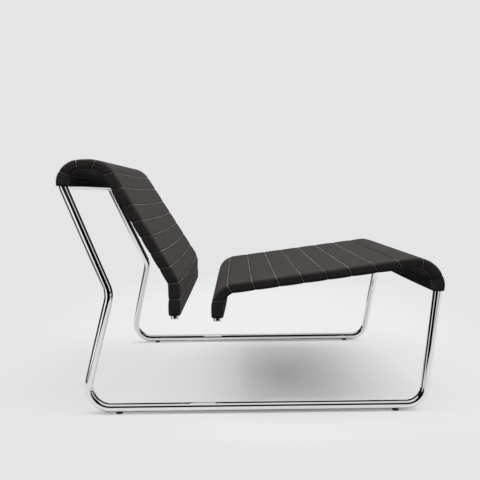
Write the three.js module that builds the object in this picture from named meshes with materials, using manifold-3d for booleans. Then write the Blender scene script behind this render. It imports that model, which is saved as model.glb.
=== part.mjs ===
// Cantilever lounge chair: two bent tube side frames that lean in towards the top,
// joined by crossbars, with a quilted back and a quilted seat slipped over their arms.
// +X is forward, +Y the sitter's left and +Z up. The origin is on the floor,
// at the middle of the chair's box. Lengths are in millimetres, angles in degrees.

import * as THREE from 'three';
import { mergeVertices } from 'three/addons/utils/BufferGeometryUtils.js';
import Module from 'manifold-3d';

// Tube and fits
const tubeDiameter = 22;
const tubeWall = 2;
const clearance = 0.3;
const tubeSides = 12;
const bendStep = 15;
const stationGap = 2;

// Plan: the frame planes stand this far apart on the floor and lean in
const footSpan = 680;
const frameLean = 7;

// Side profile: centreline heights above the floor, runs along X and leans
const glideHeight = 3.4;
const railLength = 850;
const lowerPostLean = 13.5;
const kneeHeight = 295.5;
const upperPostLean = 23.6;
const topHeight = 622.5;
const topRun = 127;
const backAngle = 59.3;
const backKneeHeight = 320.5;
const backTipHeight = 233.5;
const frontLegLean = 9;
const seatFrontHeight = 375;
const seatDepth = 569;
const seatAngle = 7.3;
const seatTipHeight = 226.5;

// Bend radii on the centreline
const rearFloorBend = 56;
const frontFloorBend = 50;
const kneeBend = 60;
const topRearBend = 45;
const topFrontBend = 55;
const backKneeBend = 60;
const seatFrontBend = 57;
const seatRearBend = 48;

// Joints between the side frames and their arms
const backJointDrop = 70;
const seatJointSetback = 70;
const spigotLength = 90;
const spigotWall = 2;
const setScrewDiameter = 6;
const setScrewLength = 6;
const setScrewSetback = 22;

// Crossbars and spreaders
const barDiameter = 16;
const barWall = 1.5;
const barReveal = 8;
const spreaderInset = 30;

// End caps and glides
const capThickness = 3;
const capStemLength = 12;
const capChamfer = 1;
const glideDiameter = 17;
const glideCradle = 3;
const glideStemDiameter = 6;
const glideStemLength = 8;
const rearGlideSetback = 91;
const frontGlideSetback = 68.5;

// Covers and pads
const coverThickness = 2.4;
const coverClearance = 0.4;
const tipReveal = 8;
const hemChannel = 35;
const backChannels = 11;
const backChannelPitch = 45;
const seatChannels = 10;
const seatChannelPitch = 59.2;
const seamDepth = 1.1;
const seamWidth = 6;
const panelCrown = 1.5;
const padClearance = 0.6;

const tubeRadius = tubeDiameter / 2;
const boreRadius = tubeRadius - tubeWall;
const barRadius = barDiameter / 2;
const railHeight = glideHeight + tubeRadius;
const leanAngle = THREE.MathUtils.degToRad(frameLean);
const tangent = (degrees) => Math.tan(THREE.MathUtils.degToRad(degrees));

// A planar centreline with straight runs and round bends at its corners.
// Each corner is { x, y, radius }, and the ends have no radius.
class Route {
  constructor(corners) {
    const points = corners.map((corner) => new THREE.Vector2(corner.x, corner.y));
    this.pieces = [];
    this.length = 0;
    let start = points[0];
    for (let i = 1; i < points.length; i++) {
      const heading = points[i].clone().sub(points[i - 1]).normalize();
      const angle = heading.angle();
      if (i === points.length - 1) {
        this.addPiece(start, angle, start.distanceTo(points[i]), 0);
        break;
      }
      const next = points[i + 1].clone().sub(points[i]).angle();
      const turn = Math.atan2(Math.sin(next - angle), Math.cos(next - angle));
      const setback = corners[i].radius * Math.tan(Math.abs(turn) / 2);
      const bendStart = points[i].clone().addScaledVector(heading, -setback);
      this.addPiece(start, angle, start.distanceTo(bendStart), 0);
      this.addPiece(bendStart, angle, corners[i].radius * Math.abs(turn), turn);
      start = this.at(this.length);
    }
  }

  addPiece(start, angle, length, turn) {
    this.pieces.push({ start, angle, length, turn, from: this.length });
    this.length += length;
  }

  // Point and heading angle at a distance along the route
  at(distance) {
    const last = this.pieces[this.pieces.length - 1];
    const piece = this.pieces.find((run) => distance <= run.from + run.length) ?? last;
    const along = distance - piece.from;
    const turned = piece.turn * (along / piece.length);
    const chordAngle = piece.angle + turned / 2;
    const chord = turned === 0 ? along : along * Math.sin(turned / 2) / (turned / 2);
    const reach = new THREE.Vector2(Math.cos(chordAngle), Math.sin(chordAngle));
    const point = piece.start.clone().addScaledVector(reach, chord);
    point.heading = piece.angle + turned;
    return point;
  }

  // Distances between two ends that follow every bend, with any extra ones.
  // A bend's step gives way where an end or an extra distance lies close to it.
  stations(from, to, extra = []) {
    const fixed = [from, to, ...extra];
    const bends = this.pieces.filter((piece) => piece.turn !== 0).flatMap((piece) => {
      const steps = Math.ceil(THREE.MathUtils.radToDeg(Math.abs(piece.turn)) / bendStep);
      return Array.from({ length: steps + 1 }, (_, i) => piece.from + piece.length * (i / steps));
    });
    const free = bends.filter((bend) => bend > from && bend < to
      && fixed.every((distance) => Math.abs(distance - bend) > stationGap));
    return [...fixed, ...free].sort((a, b) => a - b);
  }
}

// A curve that a tube section follows, ring by ring, at given distances of a route
class RouteCurve extends THREE.Curve {
  constructor(route, distances) {
    super();
    this.rings = distances.map((distance) => route.at(distance));
  }

  ring(share) {
    return this.rings[Math.round(share * (this.rings.length - 1))];
  }

  getPoint(share) {
    return new THREE.Vector3(this.ring(share).x, this.ring(share).y, 0);
  }

  getPointAt(share) {
    return this.getPoint(share);
  }

  getTangentAt(share) {
    const heading = this.ring(share).heading;
    return new THREE.Vector3(Math.cos(heading), Math.sin(heading), 0);
  }
}

// Side profile, as corners in the leaning frame plane
const kneeX = (kneeHeight - railHeight) * tangent(lowerPostLean);
const topRearX = kneeX - (topHeight - kneeHeight) * tangent(upperPostLean);
const topFrontX = topRearX + topRun;
const backX = topFrontX + (topHeight - backKneeHeight) / tangent(backAngle);
const seatFrontX = railLength + (seatFrontHeight - railHeight) * tangent(frontLegLean);
const seatRearX = seatFrontX - seatDepth;
const seatRearHeight = seatFrontHeight - seatDepth * tangent(seatAngle);
const inPlane = (x, height, radius = 0) => ({ x, y: height / Math.cos(leanAngle), radius });
const frameRoute = new Route([
  inPlane(backX, backTipHeight),
  inPlane(backX, backKneeHeight, backKneeBend),
  inPlane(topFrontX, topHeight, topFrontBend),
  inPlane(topRearX, topHeight, topRearBend),
  inPlane(kneeX, kneeHeight, kneeBend),
  inPlane(0, railHeight, rearFloorBend),
  inPlane(railLength, railHeight, frontFloorBend),
  inPlane(seatFrontX, seatFrontHeight, seatFrontBend),
  inPlane(seatRearX, seatRearHeight, seatRearBend),
  inPlane(seatRearX, seatTipHeight),
]);

// Distances along the route, from the back's free end to the seat's free end
const backJoint = frameRoute.pieces[3].from - backJointDrop;
const seatFrontBendPiece = frameRoute.pieces[13];
const seatJoint = seatFrontBendPiece.from + seatFrontBendPiece.length + seatJointSetback;
const backHem = tipReveal + backChannels * backChannelPitch + 2 * hemChannel;
const seatTail = frameRoute.length - tipReveal;
const seatHem = seatTail - seatChannels * seatChannelPitch - 2 * hemChannel;

const sides = [
  { name: 'right', sign: -1 },
  { name: 'left', sign: 1 },
];

// The frame plane's own group: X along the chair, Y up the plane, Z across it
function placeInSide(object, side) {
  object.position.y = side.sign * footSpan / 2;
  object.rotation.x = Math.PI / 2 + side.sign * leanAngle;
  object.updateMatrixWorld();
  return object;
}

function sideMatrix(side) {
  return placeInSide(new THREE.Object3D(), side).matrixWorld;
}

// Half the distance between the tubes' centres at a height above the floor
function halfSpanAt(height) {
  return footSpan / 2 - height * Math.tan(leanAngle);
}

const wasm = await Module();
wasm.setup();

function toSolid(geometry) {
  const bare = geometry.clone();
  bare.deleteAttribute('normal');
  bare.deleteAttribute('uv');
  const merged = mergeVertices(bare);
  return new wasm.Manifold(new wasm.Mesh({
    numProp: 3,
    vertProperties: merged.attributes.position.array,
    triVerts: Uint32Array.from(merged.index.array),
  }));
}

function toGeometry(solid) {
  const mesh = solid.getMesh();
  const geometry = new THREE.BufferGeometry();
  geometry.setAttribute('position', new THREE.BufferAttribute(mesh.vertProperties, 3));
  geometry.setIndex(new THREE.BufferAttribute(mesh.triVerts, 1));
  geometry.computeVertexNormals();
  return geometry;
}

function ring(radius) {
  const step = 2 * Math.PI / tubeSides;
  const corners = Array.from({ length: tubeSides }, (_, i) => i * step);
  return corners.map((angle) => new THREE.Vector2(radius * Math.cos(angle), radius * Math.sin(angle)));
}

// A round rod, or a tube where it has a bore, swept along a curve of so many steps
function sweep(curve, steps, radius, bore = 0) {
  const section = new THREE.Shape(ring(radius));
  if (bore > 0) section.holes.push(new THREE.Path(ring(bore)));
  return new THREE.ExtrudeGeometry(section, { steps, extrudePath: curve });
}

function frameTube(from, to, radius, bore = 0) {
  const distances = frameRoute.stations(from, to);
  return sweep(new RouteCurve(frameRoute, distances), distances.length - 1, radius, bore);
}

// Both frames' full outer shape with the clearance round it, to cut what meets them
const frameEnvelopes = sides.map((side) => {
  const geometry = frameTube(0, frameRoute.length, tubeRadius + clearance);
  return toSolid(geometry.applyMatrix4(sideMatrix(side)));
});

function clearOfFrames(geometry) {
  return toGeometry(frameEnvelopes.reduce((solid, frame) => solid.subtract(frame), toSolid(geometry)));
}

const chrome = { color: 0xd6d9dc, roughness: 0.06, metalness: 1 };
const plainSteel = { color: 0x8f9398, roughness: 0.35, metalness: 1 };
const blackNylon = { color: 0x161616, roughness: 0.5, metalness: 0 };
const quiltedFabric = { color: 0x2f2b2a, roughness: 0.9, metalness: 0 };
const foam = { color: 0xc9c2b4, roughness: 1, metalness: 0 };

function named(name, geometry, finish) {
  const mesh = new THREE.Mesh(geometry, new THREE.MeshStandardMaterial(finish));
  mesh.name = name;
  return mesh;
}

// A cylinder across the frame plane, through the tube's inner wall at a distance
function acrossTube(distance, side, radius, length, from) {
  const place = frameRoute.at(distance);
  const cylinder = new THREE.CylinderGeometry(radius, radius, length, tubeSides);
  cylinder.rotateX(Math.PI / 2);
  cylinder.translate(place.x, place.y, side.sign * (from - length / 2));
  return cylinder;
}

// A vertical glide stem in the rail, in the chair's frame
function glideStem(x, side, radius, length) {
  const stem = new THREE.CylinderGeometry(radius, radius, length, tubeSides);
  stem.rotateX(Math.PI / 2);
  stem.translate(x, side.sign * halfSpanAt(railHeight), length / 2);
  return stem;
}

const glidePlaces = [
  { name: 'rear_glide', x: rearGlideSetback },
  { name: 'front_glide', x: railLength - frontGlideSetback },
];

// Side frame: bent tube with a stem hole over each glide
function sideFrame(side) {
  const toPlane = sideMatrix(side).clone().invert();
  let solid = toSolid(frameTube(backJoint, seatJoint, tubeRadius, boreRadius));
  for (const place of glidePlaces) {
    const hole = glideStem(place.x, side, glideStemDiameter / 2 + clearance, railHeight);
    solid = solid.subtract(toSolid(hole.applyMatrix4(toPlane)));
  }
  return toGeometry(solid);
}

// Arm tube and spigot, each with the hole of their set screw
const screwPlaces = [
  { name: 'back', joint: backJoint, screw: backJoint - setScrewSetback },
  { name: 'seat', joint: seatJoint, screw: seatJoint + setScrewSetback },
];

function withScrewHole(geometry, place, side) {
  const hole = acrossTube(place.screw, side, setScrewDiameter / 2 + clearance, tubeDiameter, tubeDiameter);
  return toGeometry(toSolid(geometry).subtract(toSolid(hole)));
}

function arm(place, side) {
  const ends = place.name === 'back'
    ? [0, place.joint - clearance]
    : [place.joint + clearance, frameRoute.length];
  return withScrewHole(frameTube(...ends, tubeRadius, boreRadius), place, side);
}

function spigot(place, side) {
  const radius = boreRadius - clearance;
  const half = spigotLength / 2;
  const tube = frameTube(place.joint - half, place.joint + half, radius, radius - spigotWall);
  return withScrewHole(tube, place, side);
}

function setScrew(place, side) {
  return acrossTube(place.screw, side, setScrewDiameter / 2, setScrewLength, tubeRadius);
}

// End cap: low disc with a chamfered rim, on a stem in the tube's bore
function endCap(distance, towards) {
  const stemRadius = boreRadius - clearance;
  const cap = new THREE.LatheGeometry([
    new THREE.Vector2(0, -capThickness),
    new THREE.Vector2(tubeRadius - capChamfer, -capThickness),
    new THREE.Vector2(tubeRadius, capChamfer - capThickness),
    new THREE.Vector2(tubeRadius, -clearance),
    new THREE.Vector2(stemRadius, -clearance),
    new THREE.Vector2(stemRadius, capStemLength),
    new THREE.Vector2(0, capStemLength),
  ], tubeSides);
  const place = frameRoute.at(distance);
  cap.rotateZ(place.heading + towards - Math.PI / 2);
  cap.translate(place.x, place.y, 0);
  return cap;
}

// Glide: a puck that cradles the rail, with its stem in the rail's lower wall
function glide(x, side) {
  const height = glideHeight + glideCradle;
  const puck = new THREE.CylinderGeometry(glideDiameter / 2, glideDiameter / 2, height, tubeSides);
  puck.rotateX(Math.PI / 2);
  puck.translate(x, side.sign * halfSpanAt(railHeight), height / 2);
  const stem = glideStem(x, side, glideStemDiameter / 2, glideHeight + glideStemLength);
  return toGeometry(toSolid(clearOfFrames(puck)).add(toSolid(stem)));
}

// Crossbar between the two frames at a distance along their route
function crossbar(distance) {
  const place = frameRoute.at(distance);
  const height = place.y * Math.cos(leanAngle);
  const half = halfSpanAt(height);
  const axis = new THREE.LineCurve3(
    new THREE.Vector3(place.x, -half, height),
    new THREE.Vector3(place.x, half, height),
  );
  return clearOfFrames(sweep(axis, 1, barRadius, barRadius - barWall));
}

// Turns an outline across the chair into a ring of points at a distance.
// Each outline point is { y, out }: across the chair, and outwards from the loop.
function sectionRing(distance, outline) {
  const place = frameRoute.at(distance);
  const normal = new THREE.Vector2(Math.sin(place.heading), -Math.cos(place.heading));
  return outline.map(({ y, out }) => new THREE.Vector3(
    place.x + normal.x * out,
    y,
    (place.y + normal.y * out) * Math.cos(leanAngle),
  ));
}

// Joins rings of equal count into a closed body, with an optional row of inner rings
function loft(outer, inner, outerOutline, innerOutline) {
  const points = [...outer.flat(), ...inner.flat()];
  const index = [];
  const addWall = (base, count, rows, flip) => {
    for (let row = 0; row < rows - 1; row++) {
      for (let i = 0; i < count; i++) {
        const a = base + row * count + i;
        const b = base + row * count + (i + 1) % count;
        const quad = [a, b + count, b, a, a + count, b + count];
        index.push(...(flip ? quad.reverse() : quad));
      }
    }
  };
  const rows = outer.length;
  const outerCount = outerOutline.length;
  const innerCount = innerOutline.length;
  const innerBase = rows * outerCount;
  addWall(0, outerCount, rows, false);
  if (innerCount > 0) addWall(innerBase, innerCount, rows, true);
  const flat = (outline) => outline.map(({ y, out }) => new THREE.Vector2(y, out));
  const holes = innerCount > 0 ? [flat(innerOutline)] : [];
  const faces = THREE.ShapeUtils.triangulateShape(flat(outerOutline), holes);
  for (const row of [0, rows - 1]) {
    const at = (i) => (i < outerCount
      ? row * outerCount + i
      : innerBase + row * innerCount + i - outerCount);
    for (const [a, b, c] of faces) {
      index.push(...(row === 0 ? [at(a), at(b), at(c)] : [at(a), at(c), at(b)]));
    }
  }
  const geometry = new THREE.BufferGeometry().setFromPoints(points);
  geometry.setIndex(index);
  geometry.computeVertexNormals();
  return geometry;
}

// Outline of a cover at one station: squared rounds over the tubes, with a crowned panel between
const wrapAngles = [-90, -50, -15, 15, 50, 90];
const wrapSquareness = 3;

function coverOutline(halfSpan, radius, crown) {
  const wrap = wrapAngles.map((angle) => {
    const turn = THREE.MathUtils.degToRad(angle);
    const cos = Math.cos(turn);
    const sin = Math.sin(turn);
    const square = (Math.abs(cos) ** wrapSquareness + Math.abs(sin) ** wrapSquareness) ** (1 / wrapSquareness);
    return { y: halfSpan + radius * cos / square, out: radius * sin / square };
  });
  const mirrored = wrap.map(({ y, out }) => ({ y: -y, out: -out }));
  return [...wrap, { y: 0, out: radius + crown }, ...mirrored, { y: 0, out: -radius }];
}

const voidAngles = [-67.5, -22.5, 22.5, 67.5];

function voidOutline(halfSpan) {
  const radius = (tubeRadius + coverClearance) / Math.cos(THREE.MathUtils.degToRad(voidAngles[2]));
  const wrap = voidAngles.map((angle) => {
    const turn = THREE.MathUtils.degToRad(angle);
    return { y: halfSpan + radius * Math.cos(turn), out: radius * Math.sin(turn) };
  });
  return [...wrap, ...wrap.map(({ y, out }) => ({ y: -y, out: -out }))];
}

// Quilted cover: a sleeve with a shorter channel at each hem and a sewn seam between channels
function cover(from, to, channels, pitch) {
  const seams = Array.from({ length: channels + 1 }, (_, i) => from + hemChannel + i * pitch);
  const shoulders = seams.flatMap((seam) => [seam - seamWidth / 2, seam + seamWidth / 2]);
  const stations = frameRoute.stations(from, to, [...seams, ...shoulders]);
  const isSeam = (distance) => seams.includes(distance);
  const outlines = stations.map((distance) => {
    const halfSpan = halfSpanAt(frameRoute.at(distance).y * Math.cos(leanAngle));
    const swell = isSeam(distance) ? 0 : seamDepth;
    const radius = tubeRadius + coverClearance + coverThickness - seamDepth + swell;
    return { outer: coverOutline(halfSpan, radius, panelCrown), inner: voidOutline(halfSpan) };
  });
  const outer = stations.map((distance, i) => sectionRing(distance, outlines[i].outer));
  const inner = stations.map((distance, i) => sectionRing(distance, outlines[i].inner));
  return loft(outer, inner, outlines[0].outer, outlines[0].inner);
}

// Foam pad between the tubes, inside a cover
function pad(from, to) {
  const half = tubeRadius + coverClearance - padClearance;
  const outlineAt = (distance) => {
    const halfSpan = halfSpanAt(frameRoute.at(distance).y * Math.cos(leanAngle));
    const y = halfSpan - tubeRadius - padClearance;
    return [{ y, out: -half }, { y, out: half }, { y: -y, out: half }, { y: -y, out: -half }];
  };
  const stations = frameRoute.stations(from, to);
  const outer = stations.map((distance) => sectionRing(distance, outlineAt(distance)));
  return loft(outer, [], outlineAt(from), []);
}

const rearBar = backHem + barReveal - barRadius;
const frontBar = seatHem - barReveal + barRadius;
const backSpreader = tipReveal + spreaderInset;
const seatSpreader = seatTail - spreaderInset;
const padEndClearance = barRadius + padClearance;

const chair = new THREE.Group();
for (const side of sides) {
  const frame = placeInSide(new THREE.Group(), side);
  frame.add(named(`${side.name}_side_frame`, sideFrame(side), chrome));
  for (const place of screwPlaces) {
    frame.add(named(`${side.name}_${place.name}_arm`, arm(place, side), chrome));
    frame.add(named(`${side.name}_${place.name}_spigot`, spigot(place, side), plainSteel));
    frame.add(named(`${side.name}_${place.name}_set_screw`, setScrew(place, side), plainSteel));
  }
  frame.add(named(`${side.name}_back_end_cap`, endCap(0, 0), chrome));
  frame.add(named(`${side.name}_seat_end_cap`, endCap(frameRoute.length, Math.PI), chrome));
  chair.add(frame);
  for (const place of glidePlaces) {
    chair.add(named(`${side.name}_${place.name}`, glide(place.x, side), blackNylon));
  }
}
chair.add(named('rear_crossbar', crossbar(rearBar), chrome));
chair.add(named('front_crossbar', crossbar(frontBar), chrome));
chair.add(named('back_spreader', crossbar(backSpreader), plainSteel));
chair.add(named('seat_spreader', crossbar(seatSpreader), plainSteel));
chair.add(named('back_cover', cover(tipReveal, backHem, backChannels, backChannelPitch), quiltedFabric));
chair.add(named('seat_cover', cover(seatHem, seatTail, seatChannels, seatChannelPitch), quiltedFabric));
chair.add(named('back_pad', pad(backSpreader + padEndClearance, rearBar - padEndClearance), foam));
chair.add(named('seat_pad', pad(frontBar + padEndClearance, seatSpreader - padEndClearance), foam));

// Centre the chair's box on the origin
const box = new THREE.Box3().setFromObject(chair, true);
chair.position.x = -(box.min.x + box.max.x) / 2;

const part = new THREE.Group();
part.add(chair);
export default part;
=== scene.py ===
import math
import bpy
import numpy as np
from mathutils import Matrix, Vector


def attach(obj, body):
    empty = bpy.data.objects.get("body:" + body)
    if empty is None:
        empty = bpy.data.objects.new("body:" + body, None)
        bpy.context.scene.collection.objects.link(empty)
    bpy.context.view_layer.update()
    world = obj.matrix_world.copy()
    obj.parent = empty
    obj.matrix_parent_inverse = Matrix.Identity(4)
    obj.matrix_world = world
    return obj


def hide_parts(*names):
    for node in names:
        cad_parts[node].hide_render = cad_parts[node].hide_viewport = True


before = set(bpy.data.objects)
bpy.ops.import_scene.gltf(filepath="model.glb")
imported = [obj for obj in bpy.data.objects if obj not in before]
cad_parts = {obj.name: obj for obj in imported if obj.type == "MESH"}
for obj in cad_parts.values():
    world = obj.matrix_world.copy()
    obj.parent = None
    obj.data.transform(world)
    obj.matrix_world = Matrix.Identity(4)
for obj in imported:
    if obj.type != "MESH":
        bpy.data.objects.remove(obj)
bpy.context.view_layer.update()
bpy.ops.object.select_all(action="DESELECT")


# Camera. It stands off the chair's right side at seat height, looks down a little
# and is level within a degree. A 42 mm lens.
camera_place = (-0.0312, -1.7008, 0.5436)
camera_yaw = math.radians(-0.25)
camera_pitch = math.radians(-4.72)
camera_roll = math.radians(0.63)
camera_turn = (
    Matrix.Rotation(camera_yaw, 3, "Z")
    @ Matrix.Rotation(camera_pitch, 3, "X")
    @ Matrix.Rotation(camera_roll, 3, "Y")
    @ Matrix.Rotation(math.pi / 2, 3, "X")
)
bpy.ops.object.camera_add(location=camera_place, rotation=camera_turn.to_euler())
bpy.context.object.data.lens = 42.0
bpy.context.object.data.sensor_width = 36.0
bpy.context.scene.camera = bpy.context.object


# Side frames. Each is one length of round steel tube, bent cold in one plane and then
# polished and chromed: over the top, down the rear post, along the floor, up the front
# leg and into the seat. The planes lean in towards the top.
tube_radius = 0.011
tube_wall = 0.002
tube_sides = 48
frame_lean = math.radians(7)
foot_half_span = 0.340
loop_shift = -0.422098
rail_height = 0.0144
rail_length = 0.850
knee_height = 0.2955
lower_post_lean = math.radians(13.5)
upper_post_lean = math.radians(23.6)
top_height = 0.6225
top_run = 0.127
back_slope = math.radians(59.3)
back_knee_height = 0.3205
back_tip_height = 0.2335
front_leg_lean = math.radians(9)
seat_front_height = 0.375
seat_depth = 0.569
seat_slope = math.radians(7.3)
seat_tip_height = 0.2265
rear_floor_bend = 0.056
front_floor_bend = 0.050
knee_bend = 0.060
top_rear_bend = 0.045
top_front_bend = 0.055
back_knee_bend = 0.060
seat_front_bend = 0.057
seat_rear_bend = 0.048
arm_joint_setback = 0.070
bend_step = math.radians(3.5)
smooth_angle = math.radians(35)
chrome_tone = (0.86, 0.86, 0.875, 1)


class Bend:
    """A stretch of the tube's centreline in its own plane: straight, or turning evenly."""

    def __init__(self, start, heading, length, turn, beginning):
        self.start, self.heading, self.length = start, heading, length
        self.turn, self.beginning = turn, beginning
        self.ending = beginning + length

    def at(self, distance):
        along = distance - self.beginning
        turned = self.turn * along / self.length
        reach = along if abs(turned) < 1e-9 else along * math.sin(turned / 2) / (turned / 2)
        way = self.heading + turned / 2
        return self.start + Vector((math.cos(way), math.sin(way))) * reach, self.heading + turned


class Loop:
    """The whole centreline of a side: straight runs joined by round bends."""

    def __init__(self, corners):
        self.bends, self.length = [], 0.0
        spots = [Vector((x, height / math.cos(frame_lean))) for x, height, radius in corners]
        start = spots[0]
        for i in range(1, len(spots)):
            way = (spots[i] - spots[i - 1]).normalized()
            heading = math.atan2(way.y, way.x)
            if i == len(spots) - 1:
                self.add(start, heading, (spots[i] - start).length, 0.0)
                break
            after = spots[i + 1] - spots[i]
            turn = math.remainder(math.atan2(after.y, after.x) - heading, 2 * math.pi)
            radius = corners[i][2]
            bend_start = spots[i] - way * radius * math.tan(abs(turn) / 2)
            self.add(start, heading, (bend_start - start).length, 0.0)
            self.add(bend_start, heading, radius * abs(turn), turn)
            start = self.bends[-1].at(self.length)[0]

    def add(self, start, heading, length, turn):
        self.bends.append(Bend(start, heading, length, turn, self.length))
        self.length += length

    def at(self, distance):
        for bend in self.bends:
            if distance <= bend.ending + 1e-9:
                return bend.at(distance)
        return self.bends[-1].at(distance)


knee_x = (knee_height - rail_height) * math.tan(lower_post_lean)
top_rear_x = knee_x - (top_height - knee_height) * math.tan(upper_post_lean)
top_front_x = top_rear_x + top_run
back_x = top_front_x + (top_height - back_knee_height) / math.tan(back_slope)
seat_front_x = rail_length + (seat_front_height - rail_height) * math.tan(front_leg_lean)
seat_rear_x = seat_front_x - seat_depth
seat_rear_height = seat_front_height - seat_depth * math.tan(seat_slope)
loop = Loop([
    (back_x, back_tip_height, 0),
    (back_x, back_knee_height, back_knee_bend),
    (top_front_x, top_height, top_front_bend),
    (top_rear_x, top_height, top_rear_bend),
    (knee_x, knee_height, knee_bend),
    (0, rail_height, rear_floor_bend),
    (rail_length, rail_height, front_floor_bend),
    (seat_front_x, seat_front_height, seat_front_bend),
    (seat_rear_x, seat_rear_height, seat_rear_bend),
    (seat_rear_x, seat_tip_height, 0),
])
top_front_turn, seat_front_turn = loop.bends[3], loop.bends[13]
back_joint = top_front_turn.beginning - arm_joint_setback
seat_joint = seat_front_turn.ending + arm_joint_setback


def on_right_side(spot):
    """A place in the right side's leaning plane, as a place in the room."""
    return Vector((
        spot.x + loop_shift,
        spot.y * math.sin(frame_lean) - foot_half_span,
        spot.y * math.cos(frame_lean),
    ))


def way_on_right_side(heading):
    rise = math.sin(heading)
    return Vector((math.cos(heading), rise * math.sin(frame_lean), rise * math.cos(frame_lean)))


def finish_piece(piece, slot, *nodes):
    """Ends a piece: it rides on the frame and stands for its CAD nodes. The slot is not used."""
    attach(piece, "root")
    if nodes:
        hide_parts(*nodes)


def edit_all():
    """Starts to edit the active piece, with all of it selected."""
    bpy.ops.object.mode_set(mode="EDIT")
    bpy.ops.mesh.select_all(action="SELECT")


def face_outwards():
    """Turns all faces of the piece outwards and stops editing it."""
    bpy.ops.mesh.select_all(action="SELECT")
    bpy.ops.mesh.normals_make_consistent(inside=False)
    bpy.ops.object.mode_set(mode="OBJECT")


def bent_tube(name, start, end):
    """A ring drawn out along each straight run and spun round each bend, then given its wall."""
    place, heading = loop.at(start)
    way = way_on_right_side(heading)
    plane_normal = way_on_right_side(0).cross(way_on_right_side(math.pi / 2))
    ring_turn = Matrix((plane_normal, way.cross(plane_normal), way)).transposed().to_euler()
    bpy.ops.mesh.primitive_circle_add(
        vertices=tube_sides, radius=tube_radius,
        location=on_right_side(place), rotation=ring_turn,
    )
    tube = bpy.context.object
    tube.name = name
    bpy.ops.object.transform_apply(location=True, rotation=True, scale=True)
    edit_all()
    for bend in loop.bends:
        here, there = max(start, bend.beginning), min(end, bend.ending)
        if there - here < 1e-6:
            continue
        if bend.turn == 0:
            run = way_on_right_side(bend.heading) * (there - here)
            bpy.ops.mesh.extrude_region_move(TRANSFORM_OT_translate={"value": run})
            continue
        bend_radius = bend.length / abs(bend.turn)
        spot, heading = bend.at(here)
        inward = heading + math.copysign(math.pi / 2, bend.turn)
        middle = spot + Vector((math.cos(inward), math.sin(inward))) * bend_radius
        turn = bend.turn * (there - here) / bend.length
        bpy.ops.mesh.spin(
            steps=max(2, round(abs(turn) / bend_step)),
            angle=-turn,
            center=on_right_side(middle),
            axis=plane_normal,
        )
    bpy.ops.mesh.select_all(action="SELECT")
    bpy.ops.mesh.remove_doubles(threshold=1e-6)
    face_outwards()
    wall = tube.modifiers.new("wall", "SOLIDIFY")
    wall.thickness = tube_wall
    wall.offset = -1
    bpy.ops.object.modifier_apply(modifier="wall")
    bpy.ops.object.shade_smooth_by_angle(angle=smooth_angle)
    return tube


def pick(piece):
    """Selects one piece alone."""
    bpy.ops.object.select_all(action="DESELECT")
    piece.select_set(True)
    bpy.context.view_layer.objects.active = piece


def both_sides(piece, finish, slot, node):
    """Copies a right piece with its own mesh, turned over, to the left. Paints and ends both."""
    pick(piece)
    bpy.ops.object.duplicate()
    left_piece = bpy.context.object
    left_piece.name = piece.name.replace("right", "left")
    edit_all()
    bpy.ops.transform.resize(value=(1, -1, 1), center_override=(0, 0, 0))
    bpy.ops.mesh.flip_normals()
    bpy.ops.object.mode_set(mode="OBJECT")
    finish.paint(piece, left_piece)
    finish_piece(piece, slot, "right_" + node)
    finish_piece(left_piece, slot, "left_" + node)


class Wire:
    """A value in a shader. Python's own signs on it add Math nodes."""

    def __init__(self, tree, socket):
        self.tree, self.socket = tree, socket

    def maths(self, operation, *terms):
        node = self.tree.nodes.new("ShaderNodeMath")
        node.operation = operation
        for pin, term in zip(node.inputs, terms):
            if isinstance(term, Wire):
                self.tree.links.new(term.socket, pin)
            else:
                pin.default_value = term
        return Wire(self.tree, node.outputs[0])

    def __add__(self, other):
        return self.maths("ADD", self, other)

    def __radd__(self, other):
        return self.maths("ADD", other, self)

    def __sub__(self, other):
        return self.maths("SUBTRACT", self, other)

    def __rsub__(self, other):
        return self.maths("SUBTRACT", other, self)

    def __mul__(self, other):
        return self.maths("MULTIPLY", self, other)

    def __truediv__(self, other):
        return self.maths("DIVIDE", self, other)

    def __abs__(self):
        return self.maths("ABSOLUTE", self)


class Shading:
    """A shader tree. node() adds a node, with its settings and its sockets' values or links."""

    def __init__(self, tree):
        self.tree = tree

    def node(self, kind, settings=None, sockets=None, output=0):
        node = self.tree.nodes.new(kind)
        for setting, value in (settings or {}).items():
            setattr(node, setting, value)
        for socket, value in (sockets or {}).items():
            if isinstance(value, Wire):
                self.tree.links.new(value.socket, node.inputs[socket])
            else:
                node.inputs[socket].default_value = value
        return Wire(self.tree, node.outputs[output])

    def parts(self, vector):
        """The three parts of a vector."""
        node = self.tree.nodes.new("ShaderNodeSeparateXYZ")
        self.tree.links.new(vector.socket, node.inputs[0])
        return [Wire(self.tree, part) for part in node.outputs]

    def noise(self, scale, detail):
        """Cloudy noise that lies still on the piece."""
        place = self.node("ShaderNodeTexCoord", output=3)
        return self.node(
            "ShaderNodeTexNoise", None, {"Vector": place, "Scale": scale, "Detail": detail}
        )

    def blend(self, share, low, high):
        """One colour going over into another as the share goes from 0 to 1."""
        return self.node("ShaderNodeMix", {"data_type": "RGBA"}, {0: share, 6: low, 7: high}, 2)

    def mix(self, share, first, second):
        return self.node("ShaderNodeMixShader", None, {0: share, 1: first, 2: second})


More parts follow.
